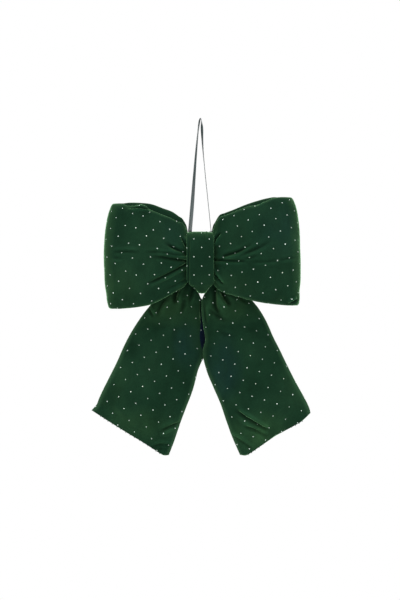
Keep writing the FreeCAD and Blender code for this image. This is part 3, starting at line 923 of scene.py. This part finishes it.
def thread_bars(name, bars):
    """Hand stitches: each bar is a short bent thread from one point to another, in millimetres."""
    points, faces = [], []
    for start, end, up in bars:
        run = end - start
        side = np.cross(run, up)
        side /= np.linalg.norm(side)
        lift = np.cross(side, run)
        lift /= np.linalg.norm(lift)
        base = len(points)
        for i in range(THREAD_STEPS):
            t = i / (THREAD_STEPS - 1)
            middle = start + run * t + lift * (0.55 - 1.5 * abs(2 * t - 1) ** 3)
            for k in range(THREAD_SIDES):
                a = 2 * math.pi * k / THREAD_SIDES
                off = (side * math.cos(a) + lift * math.sin(a)) * THREAD_RADIUS
                points.append(tuple((middle + off) * MM))
        rings = [[base + i * THREAD_SIDES + k for k in range(THREAD_SIDES)]
                 for i in range(THREAD_STEPS)]
        for near, far in zip(rings, rings[1:]):
            for k in range(THREAD_SIDES):
                m = (k + 1) % THREAD_SIDES
                faces.append((near[k], near[m], far[m], far[k]))
        faces += [tuple(rings[0][::-1]), tuple(rings[-1])]
    obj = new_object(name, points, faces)
    obj.data.materials.append(THREAD)
    return obj


def seam(name, fine, n, places, reach):
    """A row of hand stitches on the back at places (x, z), each reaching out both ways."""
    bars = []
    for x, z in places:
        gap = np.hypot(fine[..., 0] - x, fine[..., 2] - z)
        gap = np.where(n[..., 1] > 0.3, gap, 1e6)
        outer = np.where(gap < 4, fine[..., 1], -1e6)
        k = (outer - 3 * gap).argmax()
        point, up = fine.reshape(-1, 3)[k], n.reshape(-1, 3)[k]
        bars.append((point - np.array(reach), point + np.array(reach), up))
    return thread_bars(name, bars)


# ======== putting it together

OUTER_SKIN = 0.02             # the outer skin's columns have more than this share of thickness
FILL_SCALE, FILL_INSET = 0.965, 2.6         # the wadding's size, and how far it is under the skin
UNDER_CREASE, FILL_ROOM = 1.15, 0.47        # deeper under a crease, to this share of thickness
# each row of stitches: from, to, count (heights, distances out, and shares of the tail's width)
KNOT_SEAM, LOOP_SEAM, TAIL_SEAM = (-246, -196, 8), (58, 104, 8), (0.12, 0.88, 15)
LOOP_GIRTH, TAIL_HALF = 176.0, 62.0         # widths of the flat cloth between the seams, in mm
GATHERED = 0.80               # how much of the cloth in the loops' gathers is hidden in folds


def creased(plain, creases, outer, ring=False):
    """The skin with its creases pressed in, its normals, and how far out each point moved.

    Creases are (face, table) pairs; outer says which columns are the outer skin."""
    n = normals(plain, ring)
    room = thickness(plain) * outer
    fine = plain.copy()
    for face, table in creases:
        for crease in table:
            fold_line(fine, n, room, face, *crease)
    moved = fine - plain
    moved = (4 * moved + np.roll(moved, 1, axis=1) + np.roll(moved, -1, axis=1)) / 6
    moved[1:-1] = (4 * moved[1:-1] + moved[:-2] + moved[2:]) / 6
    fine = plain + moved
    return fine, normals(fine, ring), (moved * n).sum(axis=2)


def finish_cover(name, grid, fold, edge, behind_shadow=0.0, ring=False):
    """The velvet skin; its material reads fold (mm) for painted crease shade and lip highlight, edge for a
    painted rim sheen, and a mask of painted shadow.
    """
    obj = mesh_from_grid(name, grid, ring)
    for key, values in (("fold", fold), ("edge", edge + 0 * fold), ("behind_shadow", behind_shadow + 0 * fold)):
        filled = np.zeros(len(obj.data.vertices))
        filled[:values.size] = values.ravel()
        obj.data.attributes.new(key, "FLOAT", "POINT").data.foreach_set("value", filled)
    obj.data.materials.append(VELVET)
    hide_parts(name.replace("_velvet", "_cover"))
    return obj


def widest(values, ring):
    """The largest value nearby on the grid."""
    for _ in range(3):
        left, right = np.roll(values, 1, axis=1), np.roll(values, -1, axis=1)
        values = np.maximum.reduce([values, left, right])
        up, down = np.roll(values, 1, axis=0), np.roll(values, -1, axis=0)
        if not ring:
            up[0], down[-1] = values[0], values[-1]
        values = np.maximum.reduce([values, up, down])
    return values


def finish_fill(name, before, after, ring=False, inset=FILL_INSET, drop=0):
    """The wadding under a cover: the skin before its creases, drawn in by more where they are."""
    n = normals(before, ring)
    pressed = widest(np.linalg.norm(after - before, axis=2), ring)
    room = FILL_ROOM * thickness(before)
    centre = before.mean(axis=1, keepdims=True)
    inner = centre + (before - centre) * FILL_SCALE
    inner = inner - n * np.minimum(inset + UNDER_CREASE * pressed, room)[..., None]
    inner = inner[::2, ::2]
    if drop:
        inner = inner[drop:-drop]
    obj = mesh_from_grid(name, inner, ring)
    obj.data.materials.append(WADDING)
    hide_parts(name.replace("_wadding", "_fill"))
    return obj


def declare(name):
    """Hides the CAD part of the piece's closing stitches."""
    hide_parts(f"{name}_closing_stitches")


def bend(objects):
    """Bakes each object's placement into its mesh."""
    for obj in objects:
        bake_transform(obj)


def down_rows(values, fine):
    """One value for each row of the plain grid, as a column for the rows of the fine grid."""
    return np.repeat(values, 2)[:len(fine), None]


def make_knot(grid):
    plain = refined(grid, ring=True)
    wide, deep = (np.repeat(v, 2) for v in section(KNOT_AROUND, KNOT_EDGE))
    fine, n, fold = creased(plain, [(FRONT, KNOT_CREASES)], deep > OUTER_SKIN, ring=True)
    # painted sheen along the band's side edges
    rim_sheen = 0.15 * ease(np.abs(wide), 0.90, 1.0)
    cover = finish_cover("knot_velvet", fine, fold, rim_sheen, ring=True)
    fill = finish_fill("knot_wadding", plain, fine, ring=True, inset=1.6)
    # the flat cloth: p across the band, q round it from the middle of its front
    middle = fine[:, KNOT_AROUND // 2]
    step = np.linalg.norm(np.roll(middle, -1, axis=0) - middle, axis=1)
    front_y = BOW_Y - KNOT_HALF_Y - KNOT_HALF_THICK
    front = int(np.argmin(np.hypot(middle[:, 1] - front_y, middle[:, 2] - KNOT_Z)))
    q = np.roll(np.cumsum(np.roll(step, -front)), front)
    q = np.where(q > q.max() / 2, q - q.max(), q)
    p = 1.2 * fine[..., 0]
    outer = np.broadcast_to(deep > 0.2, p.shape)
    spots = scatter("knot_spots", fine, n, p, q[:, None] + 0 * p, outer, 45.0, (2.3, -229.0))
    places = [(-1.0, z) for z in np.linspace(*KNOT_SEAM)]
    stitches = seam("knot_seam_thread", fine, n, places, (2.3, 0, 0.8))
    for obj in (cover, fill, spots, stitches):
        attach(obj, "bow")
    declare("knot")


def make_loop(name, grid, out, angle):
    spec = LOOPS[name]
    side = spec["side"]
    plain = refined(grid)
    high, deep = (np.repeat(v, 2) for v in section(AROUND))
    creases = [(FRONT, LOOP_CREASES[name]), (BACK, BACK_CREASES[name])]
    fine, n, fold = creased(plain, creases, deep > OUTER_SKIN)
    # painted sheen along the strip's top and bottom edges, weaker from the fold on and none at the neck
    shown = down_rows((1 - 0.8 * ease(angle, 0.6, 2.4)) * ease(out, 24, 50), fine)
    cover = finish_cover(f"{name}_velvet", fine, fold, 0.50 * ease(np.abs(high), 0.94, 1.0) * shown)
    fill = finish_fill(f"{name}_wadding", plain, fine, drop=1)
    # the flat cloth: p out along the strip's outer skin, q up across it
    columns = fine.shape[1]
    step = np.linalg.norm(np.diff(fine[:, columns // 4], axis=0), axis=1)
    p = np.concatenate([[0], np.cumsum(step)]) + out[0]
    across = np.linalg.norm(np.diff(fine[:, :columns // 2 + 1], axis=1), axis=2)
    arc = np.concatenate([np.zeros((len(fine), 1)), np.cumsum(across, axis=1)], axis=1)
    whole = arc[:, -1:]
    q = (0.5 - arc / whole) * LOOP_GIRTH * (np.clip(whole, 40, LOOP_GIRTH) / LOOP_GIRTH) ** GATHERED
    q = np.concatenate([q, np.full((len(fine), columns // 2 - 1), 1e4)], axis=1)
    keep = (np.abs(q) < LOOP_GIRTH / 2 - 2) & (np.abs(fine[..., 0]) > 26)
    spots = scatter(f"{name}_spots", fine, n, p[:, None] + 0 * q, q, keep,
                    -spec["lattice"], spec["anchor"])
    places = [(side * x, spec["seam"]) for x in np.linspace(*LOOP_SEAM)]
    stitches = seam(f"{name}_seam_thread", fine, n, places, (0.8, 0, 2.3))
    pieces = [cover, fill, spots, stitches]
    bend(pieces)
    declare(name)


def make_tail(name, grid, at):
    spec = TAILS[name]
    side = spec["side"]
    plain = refined(grid)
    creases = [(FRONT, TAIL_CREASES[name]), (BACK, TAIL_BACK_CREASES[name])]
    fine, n, fold = creased(plain, creases, 1)
    across, deep = (np.repeat(v, 2) for v in section(TAIL_AROUND))
    # painted sheen along the tail's side edges, fading in below its top
    rim_sheen = 0.70 * ease(np.abs(across), 0.87, 1.0) * down_rows(ease(at, 12, 60), fine)
    behind_shadow = 0.0
    if side < 0:                        # its inner edge lies behind the other tail: no painted rim sheen there, and a painted shadow instead
        rim_sheen = rim_sheen * (1 - down_rows(1 - ease(at, 150, 176), fine) * (across < -0.5))
        drop = -fine[..., 2]
        start = smooth_table(*zip(*TUCK_LINE), drop)
        behind_shadow = ease(fine[..., 0] - start, -0.8, 0.8) * ease(-n[..., 1], -0.5, 0.1)
        behind_shadow = behind_shadow * ease(drop, 272, 281) * (1 - ease(drop, 350, 364))
    cover = finish_cover(f"{name}_velvet", fine, fold, rim_sheen, behind_shadow)
    fill = finish_fill(f"{name}_wadding", plain, fine, drop=3)
    # the flat cloth: p down the tail's middle line, q across it
    a = math.radians(spec["axis"])
    down = np.array([side * math.sin(a), -math.cos(a)])
    over = np.array([math.cos(a), side * math.sin(a)])
    flat = fine[..., [0, 2]] - np.array([side * 14.0, -250.0])
    p, q = flat @ down, flat @ over
    width = np.abs(q).max(axis=1, keepdims=True)
    q = q * (TAIL_HALF / np.clip(width, 30, TAIL_HALF)) ** 0.6
    spots = []
    for face, word in ((FRONT, "front"), (BACK, "back")):
        keep = (face * n[..., 1] > 0.12) & (fine[..., 2] < -262) & (-face * deep > 0.05)[None]
        spots.append(scatter(f"{name}_{word}_spots", fine, n, p, q, keep,
                             -90 + spec["lattice"] * side, spec["anchor"], face))
    bars = []
    last, count = fine[-1], fine.shape[1]
    out_way = np.array([side * 0.36, 0, -0.93])
    for share in np.linspace(*TAIL_SEAM):
        k = int(round(np.degrees(np.arccos(2 * share - 1)) / 360 * count))
        bars.append((last[k] + out_way * 0.5, last[-k] + out_way * 0.5, out_way))
    stitches = thread_bars(f"{name}_seam_thread", bars)
    pieces = [cover, fill, stitches, *spots]
    bend(pieces)
    declare(name)


make_camera()
make_studio()
make_floor()
SATIN = satin()
make_ribbon()
VELVET = velvet()
FOIL = foil()
WADDING = fibre("white_wadding", (0.55, 0.54, 0.50), (0.80, 0.79, 0.76), 420)
THREAD = fibre("green_thread", (0.008, 0.030, 0.016), (0.020, 0.065, 0.036), 1800, (1, 1, 0.3), 0.6)
CORD = fibre("binding_cord", (0.30, 0.27, 0.21), (0.52, 0.48, 0.39), 900, (1, 0.35, 1))

shapes, jobs = {}, []
for piece in LOOPS:
    grid, out, angle = loop_shape(LOOPS[piece])
    shapes[piece] = [grid, out, angle]
    jobs.append((grid, *loop_hold(out)))
for piece in TAILS:
    grid, at = tail_shape(TAILS[piece])
    shapes[piece] = [grid, at]
    jobs.append((grid, *tail_hold(at)))
for piece, grid in zip(shapes, swell(jobs)):
    shapes[piece][0] = grid

make_knot(knot_shape())
for piece in LOOPS:
    make_loop(piece, *shapes[piece])
for piece in TAILS:
    make_tail(piece, *shapes[piece])
for node, material in (("waist_tie", CORD), ("ribbon_tack_stitches", THREAD),
                       ("tail_tack_stitches", THREAD)):
    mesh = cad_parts[node].data
    for i in range(len(mesh.materials)):
        mesh.materials[i] = material
